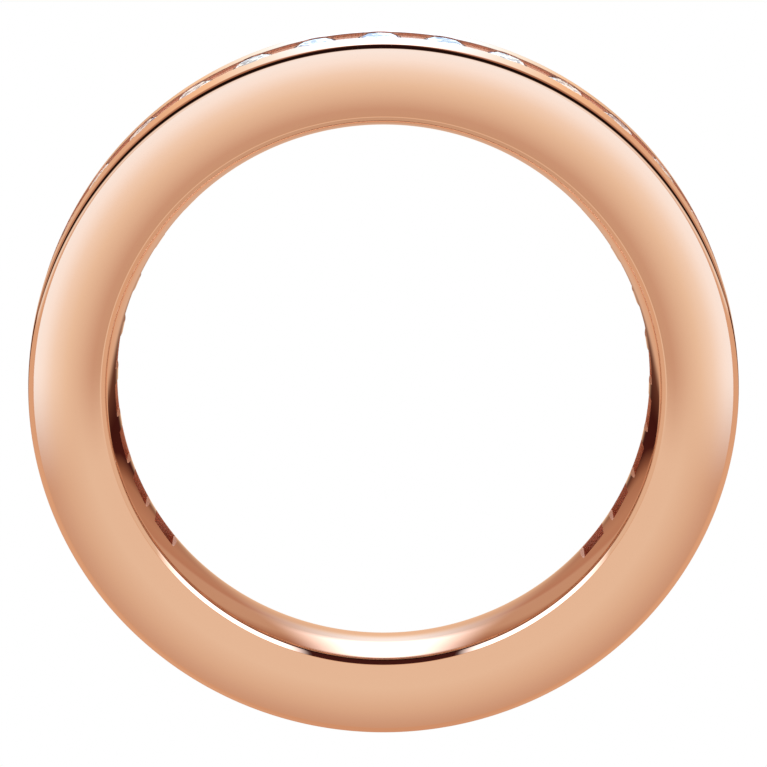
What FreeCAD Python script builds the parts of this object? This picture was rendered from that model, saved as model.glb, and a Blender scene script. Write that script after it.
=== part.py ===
"""Wedding band set with a row of round brilliants in a channel.

The band is one casting: two polished rails with a channel between them, a seat
for every stone, and a window under every seat that opens into the finger hole.
Each stone is its own solid, held under the lips of its seat.

Frame: the origin is on the axis of the finger hole at mid-width, +Y runs along
the finger hole and +Z points up through the middle stone. Sizes are in
millimetres and angles in degrees.
"""

import FreeCAD
import Part

import math
import os

# Band
finger_radius = 8.45        # finger hole at mid-width, US size 6 1/2
band_thickness = 2.80       # from the finger hole to the top of the rails
band_width = 3.00           # between the rims of the two side faces
rail_crown = 0.05           # fall of the rails from mid-width to the rims
side_dome = 0.06            # bulge of each side face beyond its rims
outer_rim_radius = 0.17     # rounding between the rails and the side faces
inner_rim_radius = 0.28     # rounding between the side faces and the hole
comfort_rise = 0.32         # how far the hole opens from mid-width to its rims
strip_width = 0.05          # straight strip of the hole on each side of the windows

# Stones
stone_count = 25
stone_diameter = 1.70
stone_gap = 0.305           # between the girdles of neighbouring stones
table_share = 0.57          # width of the table in stone diameters
girdle_share = 0.03         # thickness of the girdle in stone diameters
star_share = 0.50           # reach of the star facets towards the girdle
lower_half_share = 0.77     # reach of the lower halves towards the culet
crown_angle = 34.5
pavilion_angle = 40.75
main_facets = 8             # bezel facets, and as many pavilion mains
table_depth = 0.03          # table below the top of the rails

# Setting
channel_opening = 0.90      # between the two rails
channel_depth = 0.09
channel_bevel = 0.04        # bright cut along both edges of the channel
seat_clearance = 0.015      # round the stone in its seat
lip_scallop = 0.15          # round opening over each stone beyond the channel's walls
lip_angle = 42.0            # underside of the lips
seat_drill_radius = 0.42    # hole under the stone's culet

# Windows
window_lead = 2.3           # angle by which each window leads its stone
window_span = 0.98          # along the circumference
window_width = 1.20         # along the finger hole
window_depth = 1.05
window_draft = 4.0          # taper of the window's walls
window_chamfer = 0.03       # at the windows' corners
window_margin = 0.02        # between a window's chamfer and the straight strip

# Allowance by which a cutting shape runs past the metal it cuts.
past = 0.30

ORIGIN = FreeCAD.Vector(0, 0, 0)
HOLE_AXIS = FreeCAD.Vector(0, 1, 0)
STONE_AXIS = FreeCAD.Vector(0, 0, 1)

rail_radius = finger_radius + band_thickness
stone_radius = stone_diameter / 2
table_radius = stone_radius * table_share
crown_height = (stone_radius - table_radius) * math.tan(math.radians(crown_angle))
girdle_height = stone_diameter * girdle_share
pavilion_slope = math.tan(math.radians(pavilion_angle))
girdle_top = rail_radius - table_depth - crown_height
girdle_foot = girdle_top - girdle_height
girdle_reach = math.hypot(stone_radius, girdle_foot)
stone_half_angle = math.degrees(math.atan(stone_radius / girdle_foot))
gap_half_angle = math.degrees(math.asin(stone_gap / 2 / girdle_reach))
stone_pitch = 2 * (stone_half_angle + gap_half_angle)
strip_start = window_width / 2 + window_chamfer + window_margin
strip_end = strip_start + strip_width


def ring_section(radius, along):
    """A point of the section that the band is turned from."""
    return FreeCAD.Vector(0, along, radius)


def arc(start, middle, end):
    return Part.Arc(start, middle, end).toShape()


def line(start, end):
    return Part.makeLine(start, end)


def turned(outline, axis, angle=360.0):
    face = Part.Face(Part.Wire(outline))
    return face.revolve(ORIGIN, axis, angle)


def polygon(points):
    return Part.makePolygon(points + points[:1])


def faceted(outlines):
    """A solid with one flat face for each outline."""
    shell = Part.makeShell([Part.Face(polygon(points)) for points in outlines])
    shell.sewShape()
    solid = Part.makeSolid(shell)
    solid.fixTolerance(1e-7)
    if solid.Volume < 0:
        solid.reverse()
    return solid


def at_angle(shape, angle):
    """A copy of the shape, swung round the finger hole from the top."""
    copy = shape.copy()
    copy.rotate(ORIGIN, HOLE_AXIS, angle)
    return copy


def comfort_radius(along):
    """Radius of the finger hole, which opens smoothly towards both rims."""
    return finger_radius + comfort_rise * (along / (band_width / 2)) ** 2


strip_radius = comfort_radius((strip_start + strip_end) / 2)


def rounding(first, second, radius, corner):
    """Start, middle and end of the arc that rounds the corner of two arcs."""
    first_reach = first.Radius - radius
    second_reach = second.Radius - radius
    across = second.Center - first.Center
    apart = across.Length
    along = (apart ** 2 + first_reach ** 2 - second_reach ** 2) / (2 * apart)
    aside = math.sqrt(first_reach ** 2 - along ** 2)
    across.normalize()
    square = FreeCAD.Vector(0, -across.z, across.y)
    foot = first.Center + across * along
    choices = [foot + square * aside, foot - square * aside]
    centre = min(choices, key=lambda point: point.distanceToPoint(corner))
    start = centre + (centre - first.Center).normalize() * radius
    middle = centre + (corner - centre).normalize() * radius
    end = centre + (centre - second.Center).normalize() * radius
    return start, middle, end


def half_section(side):
    """Edges of one half of the section: +1 is the back, -1 the front."""
    rim = band_width / 2
    flare_middle = (strip_end + rim) / 2
    rim_inside = finger_radius + comfort_rise
    rim_outside = rail_radius - rail_crown
    strip_near = ring_section(strip_radius, side * strip_start)
    strip_far = ring_section(strip_radius, side * strip_end)
    flare = ring_section(comfort_radius(flare_middle), side * flare_middle)
    inner_corner = ring_section(rim_inside, side * rim)
    dome = ring_section((rim_inside + rim_outside) / 2, side * (rim + side_dome))
    outer_corner = ring_section(rim_outside, side * rim)
    rail_top = ring_section(rail_radius, 0)

    flare_circle = arc(strip_far, flare, inner_corner).Curve
    dome_circle = arc(inner_corner, dome, outer_corner).Curve
    other_corner = ring_section(rim_outside, -side * rim)
    crown_circle = arc(outer_corner, rail_top, other_corner).Curve
    inner = rounding(flare_circle, dome_circle, inner_rim_radius, inner_corner)
    outer = rounding(dome_circle, crown_circle, outer_rim_radius, outer_corner)
    return [
        line(strip_near, strip_far),
        arc(strip_far, flare, inner[0]),
        arc(*inner),
        arc(inner[2], dome, outer[0]),
        arc(*outer),
    ], outer[2]


def make_blank():
    """The band before the setting is cut."""
    front, front_end = half_section(-1)
    back, back_end = half_section(1)
    hole = arc(
        ring_section(strip_radius, -strip_start),
        ring_section(finger_radius, 0),
        ring_section(strip_radius, strip_start),
    )
    crown = arc(front_end, ring_section(rail_radius, 0), back_end)
    outline = Part.__sortEdges__([hole, crown] + front + back)
    return turned(outline, HOLE_AXIS)


def make_channel():
    half = channel_opening / 2
    floor = rail_radius - channel_depth
    bevel_foot = rail_radius - channel_bevel
    top = rail_radius + past
    flare = half + top - bevel_foot
    section = [
        ring_section(floor, -half),
        ring_section(bevel_foot, -half),
        ring_section(top, -flare),
        ring_section(top, flare),
        ring_section(bevel_foot, half),
        ring_section(floor, half),
    ]
    half_sweep = stone_pitch * stone_count / 2
    channel = turned(polygon(section).Edges, HOLE_AXIS, 2 * half_sweep)
    return at_angle(channel, -half_sweep)


def make_seat():
    """Cutting shape for the seat of the stone at the top of the band."""
    seat_radius = stone_radius + seat_clearance
    lip_radius = channel_opening / 2 + lip_scallop
    lip_height = (seat_radius - lip_radius) * math.tan(math.radians(lip_angle))
    drill_top = girdle_foot - (seat_radius - seat_drill_radius) * pavilion_slope
    drill_foot = finger_radius + window_depth - past
    section = [
        FreeCAD.Vector(0, 0, drill_foot),
        FreeCAD.Vector(seat_drill_radius, 0, drill_foot),
        FreeCAD.Vector(seat_drill_radius, 0, drill_top),
        FreeCAD.Vector(seat_radius, 0, girdle_foot),
        FreeCAD.Vector(seat_radius, 0, girdle_top),
        FreeCAD.Vector(lip_radius, 0, girdle_top + lip_height),
        FreeCAD.Vector(lip_radius, 0, rail_radius + past),
        FreeCAD.Vector(0, 0, rail_radius + past),
    ]
    return turned(polygon(section).Edges, STONE_AXIS)


def pocket(half_span, half_width, foot, top, growth):
    """A four-sided cutter that grows by a slope from its foot to its top."""
    ends = []
    for height in (foot, top):
        grown = (height - foot) * growth
        x = half_span + grown
        y = half_width + grown
        ends.append([
            FreeCAD.Vector(-x, -y, height),
            FreeCAD.Vector(x, -y, height),
            FreeCAD.Vector(x, y, height),
            FreeCAD.Vector(-x, y, height),
        ])
    near, far = ends
    sides = [[near[k - 1], near[k], far[k], far[k - 1]] for k in range(len(near))]
    return faceted(ends + sides)


def make_window():
    """Cutting shape for the window under the stone at the top of the band."""
    draft = math.tan(math.radians(window_draft))
    half_span = window_span / 2
    half_width = window_width / 2
    opening = pocket(
        half_span + past * draft,
        half_width + past * draft,
        finger_radius - past,
        finger_radius + window_depth,
        -draft,
    )
    rim_height = math.sqrt(comfort_radius(half_width) ** 2 - half_span ** 2)
    chamfer = pocket(
        half_span + window_chamfer + past,
        half_width + window_chamfer + past,
        rim_height - past,
        rim_height + window_chamfer,
        -1.0,
    )
    return at_angle(opening.fuse(chamfer), window_lead)


def make_band():
    setting = make_seat().fuse(make_window())
    cutters = [at_angle(setting, angle) for angle in stone_angles()]
    return make_blank().cut([make_channel()] + cutters)


def facet_ring(radius, height, count, shift=0.0):
    """Points evenly round the stone's axis, shifted by a share of a step."""
    step = 2 * math.pi / count
    return [
        FreeCAD.Vector(
            radius * math.cos((k + shift) * step),
            radius * math.sin((k + shift) * step),
            height,
        )
        for k in range(count)
    ]


def make_stone():
    """A round brilliant at the top of the band, table outwards."""
    crown_slope = math.tan(math.radians(crown_angle))
    half_step = math.cos(math.pi / main_facets)
    table_height = girdle_top + crown_height
    star_radius = table_radius + (stone_radius - table_radius) * star_share
    star_height = table_height - (star_radius * half_step - table_radius) * crown_slope
    lower_radius = stone_radius * (1 - lower_half_share)
    lower_drop = (stone_radius - lower_radius * half_step) * pavilion_slope
    culet = FreeCAD.Vector(0, 0, girdle_foot - stone_radius * pavilion_slope)

    table = facet_ring(table_radius, table_height, main_facets)
    star = facet_ring(star_radius, star_height, main_facets, 0.5)
    upper = facet_ring(stone_radius, girdle_top, 2 * main_facets)
    under = facet_ring(stone_radius, girdle_foot, 2 * main_facets)
    lower = facet_ring(lower_radius, girdle_foot - lower_drop, main_facets, 0.5)

    facets = [table]
    for k in range(main_facets):
        following = (k + 1) % main_facets
        main = 2 * k
        half = main + 1
        next_main = 2 * following
        facets += [
            [table[k], star[k - 1], upper[main], star[k]],
            [table[k], star[k], table[following]],
            [star[k], upper[main], upper[half]],
            [star[k], upper[half], upper[next_main]],
            [upper[main], under[main], under[half], upper[half]],
            [upper[half], under[half], under[next_main], upper[next_main]],
            [lower[k], under[main], under[half]],
            [lower[k], under[half], under[next_main]],
            [culet, lower[k - 1], under[main], lower[k]],
        ]
    return faceted(facets)


def stone_angles():
    first = -stone_pitch * (stone_count - 1) / 2
    return [first + stone_pitch * k for k in range(stone_count)]


os.makedirs("parts", exist_ok=True)
make_band().exportStep("parts/band.step")
brilliant = make_stone()
for number, angle in enumerate(stone_angles(), start=1):
    at_angle(brilliant, angle).exportStep(f"parts/stone_{number:02d}.step")
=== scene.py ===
"""Looks of the wedding band: a mirror-polished rose-gold casting with brilliants.

The band is turned again here from its own section, fine enough for mirror
reflections, and the setting is cut into it with the sizes of the CAD part.
The stones are the CAD stones. Lengths in the tables below are in millimetres;
every Blender object is in metres, in the frame of the CAD part: +Y along the
finger hole, +Z up through the middle stone.
"""

import math

import bmesh
import bpy
from mathutils import Matrix, Vector


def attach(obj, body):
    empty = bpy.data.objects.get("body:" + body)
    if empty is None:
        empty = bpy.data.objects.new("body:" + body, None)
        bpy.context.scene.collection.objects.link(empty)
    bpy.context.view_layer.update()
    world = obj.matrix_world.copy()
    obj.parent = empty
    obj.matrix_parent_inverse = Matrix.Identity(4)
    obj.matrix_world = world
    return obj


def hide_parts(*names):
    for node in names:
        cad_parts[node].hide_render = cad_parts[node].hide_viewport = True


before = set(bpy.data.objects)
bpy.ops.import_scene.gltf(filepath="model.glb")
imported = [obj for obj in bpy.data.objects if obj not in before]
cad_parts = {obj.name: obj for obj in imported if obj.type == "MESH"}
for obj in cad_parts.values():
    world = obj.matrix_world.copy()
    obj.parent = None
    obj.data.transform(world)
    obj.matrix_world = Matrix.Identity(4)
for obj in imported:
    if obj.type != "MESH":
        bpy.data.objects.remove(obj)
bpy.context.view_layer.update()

MM = 0.001

# Band section, as in the CAD part
FINGER_RADIUS = 8.45
BAND_THICKNESS = 2.80
BAND_WIDTH = 3.00
RAIL_CROWN = 0.05
SIDE_DOME = 0.06
OUTER_RIM_RADIUS = 0.17
INNER_RIM_RADIUS = 0.28
COMFORT_RISE = 0.32

# Stones and their setting, as in the CAD part
STONE_COUNT = 25
STONE_PITCH = 10.49935
STONE_RADIUS = 0.85
CROWN_HEIGHT = 0.2512
GIRDLE_HEIGHT = 0.051
PAVILION_ANGLE = 40.75
TABLE_DEPTH = 0.03
CHANNEL_OPENING = 0.90
CHANNEL_DEPTH = 0.09
CHANNEL_BEVEL = 0.04
SEAT_CLEARANCE = 0.015
LIP_SCALLOP = 0.15
LIP_ANGLE = 42.0
SEAT_DRILL_RADIUS = 0.42
WINDOW_LEAD = 2.3
WINDOW_SPAN = 0.98
WINDOW_WIDTH = 1.20
WINDOW_DEPTH = 1.05
WINDOW_DRAFT = 4.0
WINDOW_CHAMFER = 0.03
PAST = 0.08                 # how far a cutter runs past the metal it cuts

RAIL_RADIUS = FINGER_RADIUS + BAND_THICKNESS
GIRDLE_TOP = RAIL_RADIUS - TABLE_DEPTH - CROWN_HEIGHT

# Fineness of the mesh
BAND_SEGMENTS = 720
SEAT_SEGMENTS = 64
HOLE_STEPS = 30
RIM_STEPS = 16
SIDE_STEPS = 40
CROWN_STEPS = 24
MERGE_DISTANCE = 1e-8       # metres
SHARP_ANGLE = 28.0


# ---------------------------------------------------------------- section

def circle_through(start, middle, end):
    """Centre and radius of the circle through three points."""
    ax, ay = start
    bx, by = middle
    cx, cy = end
    d = 2 * (ax * (by - cy) + bx * (cy - ay) + cx * (ay - by))
    a2, b2, c2 = ax * ax + ay * ay, bx * bx + by * by, cx * cx + cy * cy
    centre = Vector((
        (a2 * (by - cy) + b2 * (cy - ay) + c2 * (ay - by)) / d,
        (a2 * (cx - bx) + b2 * (ax - cx) + c2 * (bx - ax)) / d,
    ))
    return centre, (centre - Vector(start)).length


def rounding(first, second, radius, corner):
    """The circle that rounds the corner where two circles meet, and its ends."""
    (first_centre, first_radius), (second_centre, second_radius) = first, second
    reach_first = first_radius - radius
    reach_second = second_radius - radius
    across = second_centre - first_centre
    apart = across.length
    along = (apart ** 2 + reach_first ** 2 - reach_second ** 2) / (2 * apart)
    aside = math.sqrt(reach_first ** 2 - along ** 2)
    across.normalize()
    foot = first_centre + across * along
    square = Vector((-across.y, across.x)) * aside
    centre = min((foot + square, foot - square), key=lambda p: (p - Vector(corner)).length)
    start = centre + (centre - first_centre).normalized() * radius
    end = centre + (centre - second_centre).normalized() * radius
    return (centre, radius), start, end


def arc_points(circle, start, end, steps):
    """Points along the shorter arc of a circle, its start left out."""
    centre, radius = circle
    first = math.atan2(start[1] - centre.y, start[0] - centre.x)
    last = math.atan2(end[1] - centre.y, end[0] - centre.x)
    turn = (last - first + math.pi) % (2 * math.pi) - math.pi
    return [
        (
            centre.x + radius * math.cos(first + turn * k / steps),
            centre.y + radius * math.sin(first + turn * k / steps),
        )
        for k in range(1, steps + 1)
    ]


def half_section():
    """(radius, along) points of the back half, from the hole to the crown."""
    half_width = BAND_WIDTH / 2
    rim_in = FINGER_RADIUS + COMFORT_RISE
    rim_out = RAIL_RADIUS - RAIL_CROWN
    hole_middle = (FINGER_RADIUS, 0.0)
    rail_top = (RAIL_RADIUS, 0.0)
    inner_corner = (rim_in, half_width)
    outer_corner = (rim_out, half_width)
    dome = ((rim_in + rim_out) / 2, half_width + SIDE_DOME)
    hole = circle_through((rim_in, -half_width), hole_middle, inner_corner)
    side = circle_through(inner_corner, dome, outer_corner)
    crown = circle_through(outer_corner, rail_top, (rim_out, -half_width))
    inner, hole_end, side_start = rounding(hole, side, INNER_RIM_RADIUS, inner_corner)
    outer, side_end, crown_start = rounding(side, crown, OUTER_RIM_RADIUS, outer_corner)
    return (
        [hole_middle]
        + arc_points(hole, hole_middle, hole_end, HOLE_STEPS)
        + arc_points(inner, hole_end, side_start, RIM_STEPS)
        + arc_points(side, side_start, side_end, SIDE_STEPS)
        + arc_points(outer, side_end, crown_start, RIM_STEPS)
        + arc_points(crown, crown_start, rail_top, CROWN_STEPS)
    )


# ---------------------------------------------------------------- meshes

def new_object(name, mesh):
    obj = bpy.data.objects.new(name, mesh)
    bpy.context.scene.collection.objects.link(obj)
    return obj


def turned_mesh(name, points, segments, axis, sweep=360.0, start=0.0):
    """A closed section of (radius, along) points turned round an axis."""
    closed = sweep >= 360.0
    count = segments if closed else segments + 1
    verts = []
    for k in range(count):
        angle = math.radians(start + sweep * k / segments)
        s, c = math.sin(angle), math.cos(angle)
        for radius, along in points:
            if axis == "Y":
                verts.append((radius * s * MM, along * MM, radius * c * MM))
            else:
                verts.append((radius * c * MM, radius * s * MM, along * MM))
    size = len(points)
    faces = []
    for k in range(segments):
        here = k * size
        there = ((k + 1) % count) * size
        for i in range(size):
            j = (i + 1) % size
            faces.append((here + i, here + j, there + j, there + i))
    if not closed:
        faces.append(tuple(range(size))[::-1])
        faces.append(tuple((count - 1) * size + i for i in range(size)))
    mesh = bpy.data.meshes.new(name)
    mesh.from_pydata(verts, [], faces)
    merge(mesh)
    return mesh


def merge(mesh):
    """Joins points that coincide and turns every face outwards."""
    bm = bmesh.new()
    bm.from_mesh(mesh)
    bmesh.ops.remove_doubles(bm, verts=bm.verts, dist=MERGE_DISTANCE)
    bmesh.ops.dissolve_degenerate(bm, edges=bm.edges, dist=MERGE_DISTANCE)
    bmesh.ops.recalc_face_normals(bm, faces=bm.faces)
    bm.to_mesh(mesh)
    bm.free()


def pocket_mesh(name, half_span, half_width, foot, top, growth):
    """A four-sided cutter that grows by a slope from its foot to its top."""
    verts = []
    for height in (foot, top):
        grown = (height - foot) * growth
        x, y = half_span + grown, half_width + grown
        verts += [(-x, -y, height), (x, -y, height), (x, y, height), (-x, y, height)]
    faces = [(3, 2, 1, 0), (4, 5, 6, 7)]
    faces += [(k, (k + 1) % 4, (k + 1) % 4 + 4, k + 4) for k in range(4)]
    mesh = bpy.data.meshes.new(name)
    mesh.from_pydata([[c * MM for c in v] for v in verts], [], faces)
    merge(mesh)
    return mesh


def boolean(target, cutter, operation):
    """Applies one boolean to the target and takes the cutter away."""
    modifier = target.modifiers.new("cut", "BOOLEAN")
    modifier.operation = operation
    modifier.solver = "MANIFOLD"
    modifier.object = cutter
    graph = bpy.context.evaluated_depsgraph_get()
    mesh = bpy.data.meshes.new_from_object(target.evaluated_get(graph))
    target.modifiers.clear()
    old = target.data
    target.data = mesh
    bpy.data.meshes.remove(old)
    bpy.data.objects.remove(cutter)


def swung(angle):
    """Rotation round the finger hole, from the top clockwise seen from -Y."""
    return Matrix.Rotation(math.radians(angle), 4, "Y")


def make_setting_cutter():
    """Seat and window for the stone at the top, as one closed shape."""
    seat_radius = STONE_RADIUS + SEAT_CLEARANCE
    lip_radius = CHANNEL_OPENING / 2 + LIP_SCALLOP
    lip_height = (seat_radius - lip_radius) * math.tan(math.radians(LIP_ANGLE))
    girdle_foot = GIRDLE_TOP - GIRDLE_HEIGHT
    slope = math.tan(math.radians(PAVILION_ANGLE))
    drill_top = girdle_foot - (seat_radius - SEAT_DRILL_RADIUS) * slope
    section = [
        (0.0, FINGER_RADIUS + WINDOW_DEPTH - PAST),
        (SEAT_DRILL_RADIUS, FINGER_RADIUS + WINDOW_DEPTH - PAST),
        (SEAT_DRILL_RADIUS, drill_top),
        (seat_radius, girdle_foot),
        (seat_radius, GIRDLE_TOP),
        (lip_radius, GIRDLE_TOP + lip_height),
        (lip_radius, RAIL_RADIUS + PAST),
        (0.0, RAIL_RADIUS + PAST),
    ]
    seat = new_object("seat", turned_mesh("seat", section, SEAT_SEGMENTS, "Z"))
    draft = math.tan(math.radians(WINDOW_DRAFT))
    half_span, half_width = WINDOW_SPAN / 2, WINDOW_WIDTH / 2
    opening = pocket_mesh(
        "window",
        half_span + PAST * draft,
        half_width + PAST * draft,
        FINGER_RADIUS - PAST,
        FINGER_RADIUS + WINDOW_DEPTH,
        -draft,
    )
    corner_radius = FINGER_RADIUS + COMFORT_RISE * (2 * half_width / BAND_WIDTH) ** 2
    rim_height = math.sqrt(corner_radius ** 2 - half_span ** 2)
    chamfer = pocket_mesh(
        "chamfer",
        half_span + WINDOW_CHAMFER + PAST,
        half_width + WINDOW_CHAMFER + PAST,
        rim_height - PAST,
        rim_height + WINDOW_CHAMFER,
        -1.0,
    )
    for mesh in (opening, chamfer):
        mesh.transform(swung(WINDOW_LEAD))
        boolean(seat, new_object(mesh.name, mesh), "UNION")
    return seat


def stone_angles():
    first = -STONE_PITCH * (STONE_COUNT - 1) / 2
    return [first + STONE_PITCH * k for k in range(STONE_COUNT)]


def make_channel_cutter():
    half = CHANNEL_OPENING / 2
    foot = RAIL_RADIUS - CHANNEL_BEVEL
    top = RAIL_RADIUS + PAST
    flare = half + top - foot
    floor = RAIL_RADIUS - CHANNEL_DEPTH
    section = [
        (floor, -half), (foot, -half), (top, -flare),
        (top, flare), (foot, half), (floor, half),
    ]
    sweep = STONE_PITCH * STONE_COUNT
    segments = round(BAND_SEGMENTS * sweep / 360)
    mesh = turned_mesh("channel", section, segments, "Y", sweep, -sweep / 2)
    return new_object("channel", mesh)


def make_band(polished, cut):
    half = half_section()
    front = [(radius, -along) for radius, along in half[1:-1]]
    section = half[::-1] + front
    band = new_object("band_polished", turned_mesh("band", section, BAND_SEGMENTS, "Y"))
    band.data.materials.append(polished)
    band.data.materials.append(cut)

    one = make_setting_cutter()
    joined = bmesh.new()
    for angle in stone_angles():
        copy = one.data.copy()
        copy.transform(swung(angle))
        joined.from_mesh(copy)
        bpy.data.meshes.remove(copy)
    bpy.data.objects.remove(one)
    settings = bpy.data.meshes.new("settings")
    joined.to_mesh(settings)
    joined.free()
    for cutter in (make_channel_cutter(), new_object("settings", settings)):
        cutter.data.materials.append(polished)
        cutter.data.materials.append(cut)
        for face in cutter.data.polygons:
            face.material_index = 1
        boolean(band, cutter, "DIFFERENCE")
    for face in band.data.polygons:
        face.use_smooth = True
    band.data.set_sharp_from_angle(angle=math.radians(SHARP_ANGLE))
    return band


# ---------------------------------------------------------------- materials
# A noise is (scale, detail), a haze is (lowest, highest) roughness and a grain
# is (scale, height in metres).

GRAIN_DETAIL = 4.0
HAZE_NOISE = (1400.0, 3.0)

POLISHED_TONES = ((0.95, 0.60, 0.42), (0.94, 0.585, 0.405))
POLISHED_DRIFT = (260.0, 2.0)
POLISHED_HAZE = (0.02, 0.05)
POLISHED_GRAIN = (5200.0, 2e-7)

# Painted shade: the cut metal keeps the gold's own tone near the rails and is painted deep red
# below the channel's floor, down in the seats and windows.
CUT_TONES_AND_DEPTH_SHADE = [               # by distance from the finger hole's axis
    (8.52, 0.46, 0.15, 0.06),
    (8.60, 0.40, 0.09, 0.05),
    (10.4, 0.40, 0.09, 0.05),
    (11.0, 0.95, 0.62, 0.44),
]
CUT_METALLIC = 0.65
CUT_SPECULAR = 0.1
CUT_HAZE = (0.10, 0.22)
CUT_GRAIN = (9000.0, 8e-7)
# Painted shade: cut metal out from mid-width, on the channel's walls, is painted darker.
WALL_SHADE_START = (0.43, 0.45)   # where the floor turns into the walls, from mid-width
WALL_PAINTED_SHADE = (0.66, 0.30, 0.19)
STAIN_NOISE = (2600.0, 3.0)
STAIN_SHARE = (0.0, 0.5)
STAIN_TONE = (0.46, 0.13, 0.08)

BRILLIANT_CLARITY = 0.25    # share of the light that passes through
BRILLIANT_IOR = 2.417
BRILLIANT_POLISH = (0.0, 0.02)
POLISH_NOISE = (2500.0, 2.0)
# Painted reflections: cells of base colour, white, grey and deep blue, in place of the facets'
# sparkle.
PAINTED_SPARKLE_SCALE = 5600.0
PAINTED_SPARKLE = [
    (0.00, 0.03, 0.04, 0.12),
    (0.24, 0.10, 0.13, 0.30),
    (0.38, 0.48, 0.50, 0.62),
    (0.58, 0.84, 0.87, 0.92),
    (0.82, 1.00, 0.98, 0.95),
]


def new_material(name):
    material = bpy.data.materials.new(name)
    material.use_nodes = True
    nodes = material.node_tree.nodes
    nodes.clear()
    output = nodes.new("ShaderNodeOutputMaterial")
    return material, nodes, material.node_tree.links, output


def noise(nodes, links, coords, scale, detail):
    node = nodes.new("ShaderNodeTexNoise")
    node.inputs["Scale"].default_value = scale
    node.inputs["Detail"].default_value = detail
    links.new(coords, node.inputs["Vector"])
    return node.outputs["Fac"]


def remapped(nodes, links, value, low, high):
    node = nodes.new("ShaderNodeMapRange")
    node.inputs["To Min"].default_value = low
    node.inputs["To Max"].default_value = high
    links.new(value, node.inputs["Value"])
    return node.outputs["Result"]


def ramp(nodes, links, value, stops):
    """Colour along a value: stops are (place, red, green, blue)."""
    node = nodes.new("ShaderNodeValToRGB")
    elements = node.color_ramp.elements
    while len(elements) > 1:
        elements.remove(elements[0])
    elements[0].position = stops[0][0]
    elements[0].color = (*stops[0][1:], 1.0)
    for place, *colour in stops[1:]:
        elements.new(place).color = (*colour, 1.0)
    links.new(value, node.inputs["Fac"])
    return node.outputs["Color"]


def math_node(nodes, links, operation, *values):
    node = nodes.new("ShaderNodeMath")
    node.operation = operation
    for socket, value in zip(node.inputs, values):
        if isinstance(value, (int, float)):
            socket.default_value = value
        else:
            links.new(value, socket)
    return node.outputs["Value"]


def distance(nodes, links, first, second):
    """Distance from the origin of a point with these two coordinates."""
    squares = math_node(
        nodes, links, "ADD",
        math_node(nodes, links, "MULTIPLY", first, first),
        math_node(nodes, links, "MULTIPLY", second, second),
    )
    return math_node(nodes, links, "SQRT", squares)


def smooth_share(nodes, links, value, low, high):
    """0 below the first value, 1 above the second, smooth between them."""
    node = nodes.new("ShaderNodeMapRange")
    node.interpolation_type = "SMOOTHSTEP"
    node.inputs["From Min"].default_value = low
    node.inputs["From Max"].default_value = high
    links.new(value, node.inputs["Value"])
    return node.outputs["Result"]


def noise_on_gold(nodes, links, shader, coords, haze, grain):
    """Faint haze and surface grain."""
    roughness = remapped(nodes, links, noise(nodes, links, coords, *HAZE_NOISE), *haze)
    links.new(roughness, shader.inputs["Roughness"])
    scale, height = grain
    bump = nodes.new("ShaderNodeBump")
    bump.inputs["Distance"].default_value = height
    links.new(noise(nodes, links, coords, scale, GRAIN_DETAIL), bump.inputs["Height"])
    links.new(bump.outputs["Normal"], shader.inputs["Normal"])


def blended(nodes, links, factor, first, second):
    """Mix of two colours, each given as a socket or as three numbers."""
    node = nodes.new("ShaderNodeMix")
    node.data_type = "RGBA"
    links.new(factor, node.inputs["Factor"])
    for socket, colour in ((node.inputs["A"], first), (node.inputs["B"], second)):
        if isinstance(colour, tuple):
            socket.default_value = (*colour, 1.0)
        else:
            links.new(colour, socket)
    return node.outputs["Result"]


def metal_shader(nodes, links, output, metallic):
    """A metal and the object's own coordinates, for its patterns."""
    shader = nodes.new("ShaderNodeBsdfPrincipled")
    shader.inputs["Metallic"].default_value = metallic
    links.new(shader.outputs["BSDF"], output.inputs["Surface"])
    return shader, nodes.new("ShaderNodeTexCoord").outputs["Object"]


def polished_material():
    """Mirror-polished 14 karat rose gold with a faint drift of its tone."""
    material, nodes, links, output = new_material("rose_gold_polished")
    shader, coords = metal_shader(nodes, links, output, 1.0)
    drift = noise(nodes, links, coords, *POLISHED_DRIFT)
    tone = blended(nodes, links, drift, *POLISHED_TONES)
    links.new(tone, shader.inputs["Base Color"])
    noise_on_gold(nodes, links, shader, coords, POLISHED_HAZE, POLISHED_GRAIN)
    return material


def cut_material_with_painted_shade():
    """Cut rose gold with painted shade: its own bright tone on the channel's floor, painted deep
    red down in the seats and windows and darker on the channel's walls.
    """
    material, nodes, links, output = new_material("rose_gold_cut_painted_shade")
    shader, coords = metal_shader(nodes, links, output, CUT_METALLIC)
    shader.inputs["Specular IOR Level"].default_value = CUT_SPECULAR
    place = nodes.new("ShaderNodeSeparateXYZ")
    links.new(coords, place.inputs["Vector"])
    radius = distance(nodes, links, place.outputs["X"], place.outputs["Z"])
    depth = math_node(nodes, links, "DIVIDE", radius, RAIL_RADIUS * MM)
    stops = [(distant / RAIL_RADIUS, *colour) for distant, *colour in CUT_TONES_AND_DEPTH_SHADE]
    # painted shade by depth: deep red down in the seats and windows
    tone = ramp(nodes, links, depth, stops)
    aside = math_node(nodes, links, "ABSOLUTE", place.outputs["Y"])
    # painted shade on the walls, out from mid-width
    wall_shade = smooth_share(nodes, links, aside, *[along * MM for along in WALL_SHADE_START])
    tone = blended(nodes, links, wall_shade, tone, WALL_PAINTED_SHADE)
    stain = remapped(nodes, links, noise(nodes, links, coords, *STAIN_NOISE), *STAIN_SHARE)
    tone = blended(nodes, links, stain, tone, STAIN_TONE)
    links.new(tone, shader.inputs["Base Color"])
    noise_on_gold(nodes, links, shader, coords, CUT_HAZE, CUT_GRAIN)
    return material


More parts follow.
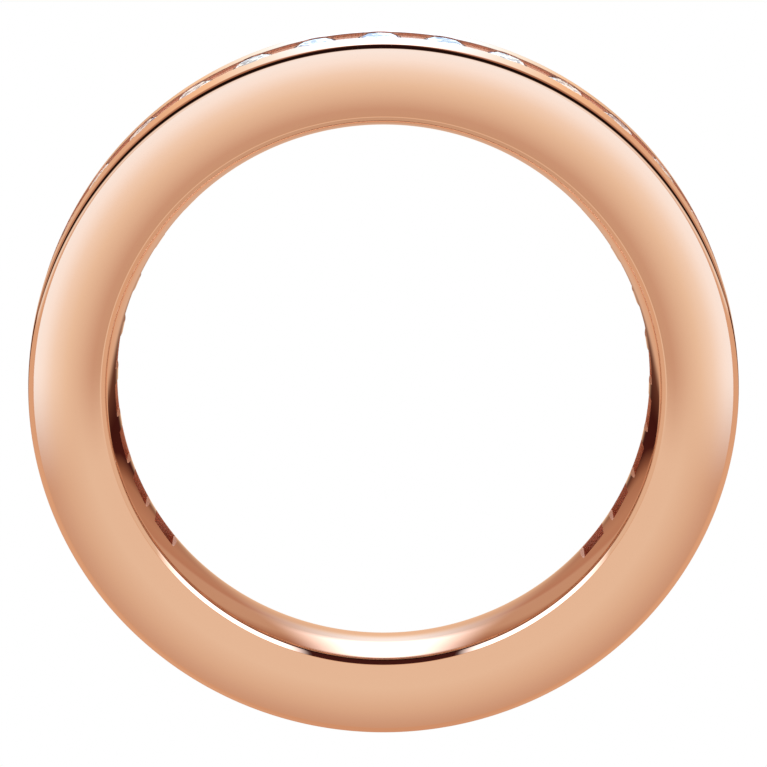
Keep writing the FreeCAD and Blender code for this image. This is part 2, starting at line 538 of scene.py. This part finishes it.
def brilliant_material():
    """Brilliant with painted reflections: cells of base colour that flash white, grey and deep
    blue by turns, in place of the facets' sparkle.
    """
    material, nodes, links, output = new_material("brilliant")
    shader = nodes.new("ShaderNodeBsdfPrincipled")
    shader.inputs["Transmission Weight"].default_value = BRILLIANT_CLARITY
    shader.inputs["IOR"].default_value = BRILLIANT_IOR
    coords = nodes.new("ShaderNodeTexCoord").outputs["Object"]
    # painted sparkle: random cells of base colour stand in for the facets' reflections
    cells = nodes.new("ShaderNodeTexVoronoi")
    cells.inputs["Scale"].default_value = PAINTED_SPARKLE_SCALE
    links.new(coords, cells.inputs["Vector"])
    hue = nodes.new("ShaderNodeSeparateColor")
    links.new(cells.outputs["Color"], hue.inputs["Color"])
    painted_sparkle = ramp(nodes, links, hue.outputs["Red"], PAINTED_SPARKLE)
    links.new(painted_sparkle, shader.inputs["Base Color"])
    polish = remapped(nodes, links, noise(nodes, links, coords, *POLISH_NOISE), *BRILLIANT_POLISH)
    links.new(polish, shader.inputs["Roughness"])
    links.new(shader.outputs["BSDF"], output.inputs["Surface"])
    return material


# ---------------------------------------------------------------- studio

RING_TURN = 0.6             # the ring stands turned by this about its hole
VIEW_DISTANCE = 151.0
VIEW_ELEVATION = 14.1
LENS = 222.7
SENSOR = 36.0
CLIP = (0.001, 10.0)        # metres
FLOOR_REACH = 4.0           # metres from the middle of the floor to its edges
CARD_SIDES = 96
CARD_DISTANCE = 30.0
CARD_RADIUS = 18.7
CARD_FADE = (-0.35, 0.05)   # where the lower half of the card gives way, as a sine
CARD_SHIFT = 0.9            # how far that change lies above the card's middle
MOUTH_DISTANCE = 2.5
MOUTH_DROP = 0.25
MOUTH_RADIUS = 8.45
MOUTH_FADE = (5.6, 6.6)     # between the inner and the edge colours
PINHOLE = 0.001             # inner radius of the cards that are whole discs
BACK_DISTANCE = 4.0
BACK_RADII = (11.27, 14.5)
SOFT_LIGHT = 1.8            # what scattering surfaces receive from all round
SOFT_COLOUR = (0.95, 0.97, 1.0, 1.0)
WHITE = (1.0, 1.0, 1.0, 1.0)

CARD_UPPER = [              # by the share of the card's radius
    (0.12, 0.74, 0.56, 0.43),
    (0.27, 0.61, 0.48, 0.39),
    (0.39, 0.63, 0.49, 0.41),
    (0.52, 0.76, 0.68, 0.60),
    (0.644, 0.86, 0.83, 0.76),
    (0.77, 0.94, 1.00, 1.03),
    (0.893, 1.02, 1.25, 1.50),
    (0.968, 1.02, 1.32, 1.65),
]
CARD_LOWER = [
    (0.27, 0.83, 0.78, 0.71),
    (0.52, 0.83, 0.79, 0.72),
    (0.644, 0.79, 0.72, 0.64),
    (0.77, 0.74, 0.64, 0.55),
    (0.893, 0.67, 0.54, 0.46),
    (0.968, 0.64, 0.49, 0.40),
]
MOUTH_EDGE = [              # by the share of half a turn, from the foot up
    (0.085, 0.05, 0.014, 0.014),
    (0.115, 2.20, 2.60, 3.20),
    (0.25, 2.20, 2.60, 3.20),
    (0.30, 0.78, 0.72, 0.64),
    (0.60, 0.74, 0.56, 0.43),
    (0.80, 0.62, 0.50, 0.41),
]
MOUTH_INNER = [
    (0.085, 0.03, 0.01, 0.01),
    (0.12, 0.20, 0.08, 0.05),
    (0.28, 0.34, 0.18, 0.12),
    (0.36, 0.74, 0.56, 0.43),
    (0.60, 0.74, 0.56, 0.43),
    (0.80, 0.62, 0.50, 0.41),
]
BACK_COLOURS = [            # by the share of half a turn, from the top down
    (0.00, 1.20, 1.55, 1.95),
    (0.07, 1.15, 1.45, 1.75),
    (0.12, 1.04, 1.08, 1.00),
    (0.18, 0.96, 0.68, 0.44),
    (0.26, 0.78, 0.48, 0.30),
    (0.45, 0.74, 0.48, 0.32),
]
SKY_MIDDLE = [              # by degrees above the level direction behind the ring
    (-180, 1.00, 1.25, 1.50),
    (-172, 0.66, 0.46, 0.34),
    (-24, 0.66, 0.46, 0.34),
    (-14, 0.86, 0.57, 0.37),
    (0, 0.86, 0.62, 0.43),
    (7, 0.88, 0.68, 0.50),
    (12, 0.91, 0.78, 0.63),
    (17, 0.99, 1.03, 1.02),
    (22, 1.04, 1.25, 1.45),
    (28, 1.06, 1.34, 1.62),
    (35, 2.40, 2.80, 3.40),
    (57, 2.40, 2.80, 3.40),
    (64, 1.05, 1.26, 1.50),
    (72, 0.40, 0.18, 0.10),
    (78, 0.03, 0.01, 0.01),
    (165, 0.01, 0.005, 0.005),
    (172, 0.55, 0.50, 0.50),
    (176, 1.02, 1.30, 1.60),
]
SKY_SIDE = [
    (-180, 0.92, 1.00, 1.05),
    (-172, 0.74, 0.56, 0.43),
    (-23, 0.74, 0.56, 0.43),
    (-19, 0.14, 0.06, 0.04),
    (-13, 0.05, 0.012, 0.01),
    (-7, 0.06, 0.014, 0.012),
    (-3, 0.24, 0.11, 0.07),
    (1, 0.42, 0.24, 0.16),
    (6, 0.46, 0.27, 0.19),
    (12, 0.50, 0.31, 0.22),
    (22, 0.50, 0.30, 0.22),
    (26, 0.58, 0.42, 0.33),
    (44, 0.58, 0.43, 0.34),
    (56, 0.42, 0.24, 0.17),
    (88, 0.40, 0.22, 0.15),
    (102, 0.01, 0.005, 0.005),
    (160, 0.01, 0.005, 0.005),
    (168, 0.50, 0.45, 0.42),
    (173, 0.92, 1.00, 1.05),
]
SKY_ASIDE = (0.0, 0.40)     # sideways reach over which the sky goes from middle to side

studio_turn = swung(RING_TURN)


def studio(x, y, z):
    """A place in the studio, in millimetres from the middle of the ring."""
    return studio_turn @ Vector((x * MM, y * MM, z * MM))


def make_camera():
    data = bpy.data.cameras.new("camera")
    data.lens = LENS
    data.sensor_width = SENSOR
    data.clip_start, data.clip_end = CLIP
    camera = bpy.data.objects.new("camera", data)
    bpy.context.scene.collection.objects.link(camera)
    elevation = math.radians(VIEW_ELEVATION)
    tilt = Matrix.Rotation(math.radians(90.0) - elevation, 4, "X")
    place = studio(
        0.0,
        -VIEW_DISTANCE * math.cos(elevation),
        VIEW_DISTANCE * math.sin(elevation),
    )
    camera.matrix_world = Matrix.Translation(place) @ studio_turn @ tilt
    bpy.context.scene.camera = camera


def seen_only_by(obj, camera, reflections):
    obj.visible_camera = camera
    obj.visible_glossy = reflections
    obj.visible_transmission = reflections
    obj.visible_diffuse = reflections
    obj.visible_shadow = False


def make_floor():
    """Plain white floor under the ring, bright enough to hide its shadow."""
    material, nodes, links, output = new_material("floor")
    glow = nodes.new("ShaderNodeEmission")
    glow.inputs["Color"].default_value = WHITE
    links.new(glow.outputs["Emission"], output.inputs["Surface"])
    mesh = bpy.data.meshes.new("floor")
    reach = FLOOR_REACH
    corners = [(-reach, -reach, 0), (reach, -reach, 0), (reach, reach, 0), (-reach, reach, 0)]
    mesh.from_pydata(corners, [], [(0, 1, 2, 3)])
    mesh.materials.append(material)
    floor = new_object("floor", mesh)
    floor.matrix_world = Matrix.Translation(studio(0, 0, -RAIL_RADIUS)) @ studio_turn
    seen_only_by(floor, camera=True, reflections=False)


def make_card():
    """Round graded reflector in front of the ring, brightest at its upper rim."""
    material, nodes, links, output = new_material("card")
    place = nodes.new("ShaderNodeSeparateXYZ")
    links.new(nodes.new("ShaderNodeTexCoord").outputs["Object"], place.inputs["Vector"])
    x, z = place.outputs["X"], place.outputs["Z"]
    radius = distance(nodes, links, x, z)
    reach = math_node(nodes, links, "DIVIDE", radius, CARD_RADIUS * MM)
    upper = ramp(nodes, links, reach, CARD_UPPER)
    lower = ramp(nodes, links, reach, CARD_LOWER)
    lowered = math_node(nodes, links, "SUBTRACT", z, CARD_SHIFT * MM)
    height = math_node(nodes, links, "DIVIDE", lowered, radius)
    share = smooth_share(nodes, links, height, *CARD_FADE)
    glow = nodes.new("ShaderNodeEmission")
    links.new(blended(nodes, links, share, lower, upper), glow.inputs["Color"])
    links.new(glow.outputs["Emission"], output.inputs["Surface"])

    drop = -CARD_DISTANCE * math.tan(math.radians(VIEW_ELEVATION))
    make_disc("card", material, PINHOLE, CARD_RADIUS, studio(0, -CARD_DISTANCE, drop))


def make_disc(name, material, inside, outside, place):
    """A flat ring-shaped reflector across the finger hole's axis."""
    angles = [2 * math.pi * k / CARD_SIDES for k in range(CARD_SIDES)]
    verts = [
        (radius * MM * math.cos(angle), 0.0, radius * MM * math.sin(angle))
        for radius in (inside, outside)
        for angle in angles
    ]
    faces = []
    for here in range(CARD_SIDES):
        there = (here + 1) % CARD_SIDES
        faces.append((here, there, there + CARD_SIDES, here + CARD_SIDES))
    mesh = bpy.data.meshes.new(name)
    mesh.from_pydata(verts, [], faces)
    mesh.materials.append(material)
    disc = new_object(name, mesh)
    disc.matrix_world = Matrix.Translation(place) @ studio_turn
    seen_only_by(disc, camera=False, reflections=True)


def make_mouth_card():
    """Reflector over the mouth of the hole, seen in its inner rim alone."""
    material, nodes, links, output = new_material("mouth_card")
    place = nodes.new("ShaderNodeSeparateXYZ")
    links.new(nodes.new("ShaderNodeTexCoord").outputs["Object"], place.inputs["Vector"])
    x, z = place.outputs["X"], place.outputs["Z"]
    down = math_node(nodes, links, "MULTIPLY", z, -1.0)
    round_from_foot = math_node(
        nodes, links, "ABSOLUTE", math_node(nodes, links, "ARCTAN2", x, down)
    )
    turn = math_node(nodes, links, "DIVIDE", round_from_foot, math.pi)
    edge = ramp(nodes, links, turn, MOUTH_EDGE)
    inner = ramp(nodes, links, turn, MOUTH_INNER)
    radius = distance(nodes, links, x, z)
    share = smooth_share(nodes, links, radius, *[reach * MM for reach in MOUTH_FADE])
    glow = nodes.new("ShaderNodeEmission")
    links.new(blended(nodes, links, share, inner, edge), glow.inputs["Color"])
    links.new(glow.outputs["Emission"], output.inputs["Surface"])
    place = studio(0, -MOUTH_DISTANCE, -MOUTH_DROP)
    make_disc("mouth_card", material, PINHOLE, MOUTH_RADIUS, place)


def make_back_card():
    """Ring-shaped reflector behind the band, seen in the top of its rails alone."""
    material, nodes, links, output = new_material("back_card")
    place = nodes.new("ShaderNodeSeparateXYZ")
    links.new(nodes.new("ShaderNodeTexCoord").outputs["Object"], place.inputs["Vector"])
    around = math_node(
        nodes, links, "ABSOLUTE",
        math_node(nodes, links, "ARCTAN2", place.outputs["X"], place.outputs["Z"]),
    )
    turn = math_node(nodes, links, "DIVIDE", around, math.pi)
    colour = ramp(nodes, links, turn, BACK_COLOURS)
    glow = nodes.new("ShaderNodeEmission")
    links.new(colour, glow.inputs["Color"])
    links.new(glow.outputs["Emission"], output.inputs["Surface"])
    make_disc("back_card", material, *BACK_RADII, studio(0, BACK_DISTANCE, 0))


def make_world():
    """Soft studio: the mirrors see a graded sky, the camera sees plain white."""
    world = bpy.data.worlds.new("studio")
    bpy.context.scene.world = world
    world.use_nodes = True
    nodes, links = world.node_tree.nodes, world.node_tree.links
    nodes.clear()
    output = nodes.new("ShaderNodeOutputWorld")
    direction = nodes.new("ShaderNodeSeparateXYZ")
    links.new(nodes.new("ShaderNodeTexCoord").outputs["Generated"], direction.inputs["Vector"])
    over = math_node(
        nodes, links, "ARCTAN2", direction.outputs["Z"], direction.outputs["Y"]
    )
    turn = math_node(nodes, links, "MULTIPLY_ADD", over, 0.5 / math.pi, 0.5)

    def placed(stops):
        return [(0.5 + degrees / 360.0, *colour) for degrees, *colour in stops]

    middle = ramp(nodes, links, turn, placed(SKY_MIDDLE))
    side = ramp(nodes, links, turn, placed(SKY_SIDE))
    aside = math_node(nodes, links, "ABSOLUTE", direction.outputs["X"])
    share = smooth_share(nodes, links, aside, *SKY_ASIDE)
    sky = blended(nodes, links, share, middle, side)
    seen = nodes.new("ShaderNodeBackground")
    seen.inputs["Color"].default_value = WHITE
    reflected = nodes.new("ShaderNodeBackground")
    links.new(sky, reflected.inputs["Color"])
    soft = nodes.new("ShaderNodeBackground")
    soft.inputs["Color"].default_value = SOFT_COLOUR
    soft.inputs["Strength"].default_value = SOFT_LIGHT
    path = nodes.new("ShaderNodeLightPath")
    kind = reflected
    for ray, other in (("Is Diffuse Ray", soft), ("Is Camera Ray", seen)):
        choice = nodes.new("ShaderNodeMixShader")
        links.new(path.outputs[ray], choice.inputs["Fac"])
        links.new(kind.outputs[0], choice.inputs[1])
        links.new(other.outputs[0], choice.inputs[2])
        kind = choice
    links.new(kind.outputs[0], output.inputs["Surface"])


# ---------------------------------------------------------------- scene

polished = polished_material()
cut_gold_with_painted_shade = cut_material_with_painted_shade()
brilliant = brilliant_material()

band = make_band(polished, cut_gold_with_painted_shade)
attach(band, "root")
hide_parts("band")

for name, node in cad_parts.items():
    if name.startswith("stone_"):
        node.data.materials.clear()
        node.data.materials.append(brilliant)

make_camera()
make_floor()
make_card()
make_mouth_card()
make_back_card()
make_world()
bpy.context.scene.view_settings.view_transform = "Standard"
